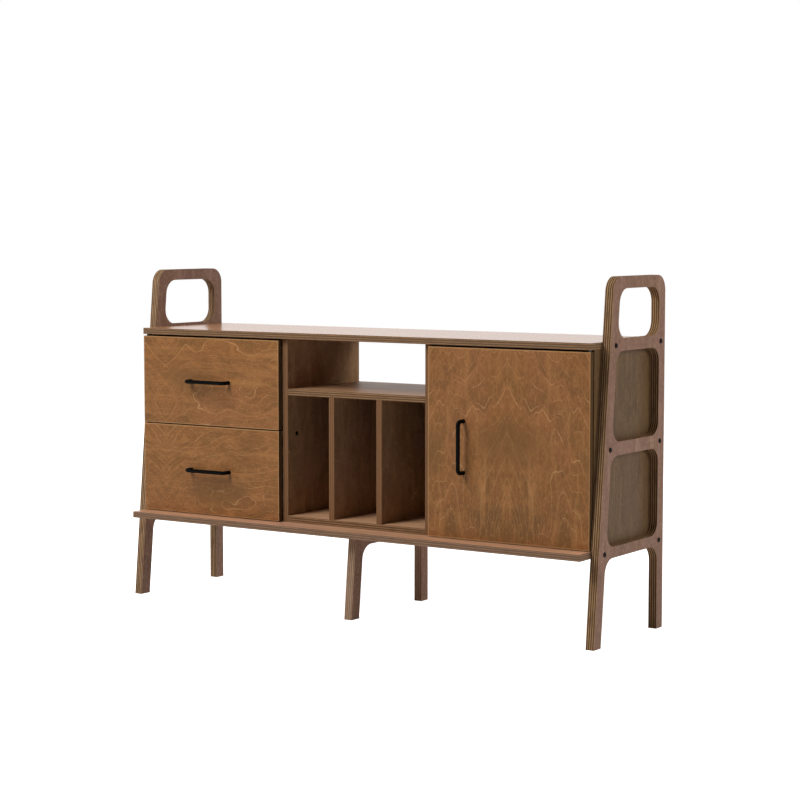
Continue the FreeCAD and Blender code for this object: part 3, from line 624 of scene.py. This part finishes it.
def add_back_screws(steel, dark):
    shape = bmesh.new()
    for number, place in enumerate(screw_places()):
        add_head(shape, place)
        add_cross(shape, place, number * screw_turn)
    mesh = bpy.data.meshes.new("back_screws")
    shape.to_mesh(mesh)
    shape.free()
    mesh.materials.append(steel)
    # Black steel on the cross bars paints the shade in the slots.
    mesh.materials.append(dark)
    screws = bpy.data.objects.new("back_screws", mesh)
    bpy.context.scene.collection.objects.link(screws)
    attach(screws, "carcass")


def softbox(name, size, power, place):
    """Square lamp aimed at the credenza, not seen in mirrors."""
    light = bpy.data.lights.new(name, "AREA")
    light.size = size
    light.energy = power
    lamp = bpy.data.objects.new(name, light)
    lamp.visible_glossy = False
    lamp.location = place
    lamp.rotation_mode = "QUATERNION"
    lamp.rotation_quaternion = (light_target - place).to_track_quat("-Z", "Y")
    bpy.context.scene.collection.objects.link(lamp)


def seen_rays(tree):
    """One for rays that show the white ground directly or in a mirror, nought for the rest."""
    path = tree.nodes.new("ShaderNodeLightPath")
    total = path.outputs["Is Camera Ray"]
    for name in ("Is Glossy Ray", "Is Transmission Ray"):
        either = tree.nodes.new("ShaderNodeMath")
        either.operation = "MAXIMUM"
        tree.links.new(total, either.inputs[0])
        tree.links.new(path.outputs[name], either.inputs[1])
        total = either.outputs[0]
    return total


def set_world():
    """Plain white where it is seen, and a weak sky, brighter in front, for the light that it gives."""
    world = bpy.data.worlds.new("studio")
    bpy.context.scene.world = world
    world.use_nodes = True
    tree = world.node_tree
    sky = tree.nodes["Background"]
    sky.inputs["Color"].default_value = white
    way = tree.nodes.new("ShaderNodeSeparateXYZ")
    tree.links.new(tree.nodes.new("ShaderNodeTexCoord").outputs["Generated"], way.inputs[0])
    soft = tree.nodes.new("ShaderNodeMapRange")
    for socket, value in zip(soft.inputs[1:5], (-sky_turn, sky_turn, front_sky, back_sky)):
        socket.default_value = value
    tree.links.new(way.outputs["Y"], soft.inputs["Value"])
    strength = tree.nodes.new("ShaderNodeMapRange")
    strength.inputs["To Max"].default_value = 1.0
    tree.links.new(soft.outputs[0], strength.inputs["To Min"])
    tree.links.new(seen_rays(tree), strength.inputs["Value"])
    tree.links.new(strength.outputs[0], sky.inputs["Strength"])


def floor_material():
    """Matt ground that glows only where it is seen, so that it looks white with a faint shadow."""
    material = bpy.data.materials.new("floor")
    material.use_nodes = True
    tree = material.node_tree
    matt = tree.nodes["Principled BSDF"]
    matt.inputs["Base Color"].default_value = floor_colour
    matt.inputs["Roughness"].default_value = floor_roughness
    matt.inputs["Specular IOR Level"].default_value = 0.0
    matt.inputs["Emission Color"].default_value = white
    glow = tree.nodes.new("ShaderNodeMath")
    glow.operation = "MULTIPLY"
    glow.inputs[1].default_value = floor_glow
    tree.links.new(seen_rays(tree), glow.inputs[0])
    tree.links.new(glow.outputs[0], matt.inputs["Emission Strength"])
    return material


def lay_floor():
    mesh = bpy.data.meshes.new("floor")
    corners = [(x * floor_half, y * floor_half, 0.0) for x, y in floor_corners]
    mesh.from_pydata(corners, [], [range(len(corners))])
    mesh.materials.append(floor_material())
    floor = bpy.data.objects.new("floor", mesh)
    bpy.context.scene.collection.objects.link(floor)


def set_camera():
    data = bpy.data.cameras.new("camera")
    data.lens = camera_lens
    data.sensor_width = sensor_width
    camera = bpy.data.objects.new("camera", data)
    camera.location = camera_place
    level = math.cos(camera_pitch)
    forward = Vector((-math.sin(camera_yaw) * level, math.cos(camera_yaw) * level, math.sin(camera_pitch)))
    camera.rotation_mode = "QUATERNION"
    camera.rotation_quaternion = forward.to_track_quat("-Z", "Y")
    bpy.context.scene.collection.objects.link(camera)
    bpy.context.scene.camera = camera


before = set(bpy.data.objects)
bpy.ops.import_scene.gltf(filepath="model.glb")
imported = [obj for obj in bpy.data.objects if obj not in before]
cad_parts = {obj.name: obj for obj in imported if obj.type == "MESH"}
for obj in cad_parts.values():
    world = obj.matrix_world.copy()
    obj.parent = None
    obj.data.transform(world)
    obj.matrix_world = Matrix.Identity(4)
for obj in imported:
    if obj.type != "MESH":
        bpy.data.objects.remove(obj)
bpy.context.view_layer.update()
record_slots = {material.name for material in bpy.data.materials}
dress()
set_world()
lay_floor()
for lamp_name, lamp_values in softboxes.items():
    softbox(lamp_name, **lamp_values)
set_camera()
bpy.context.scene.view_settings.view_transform = "Standard"
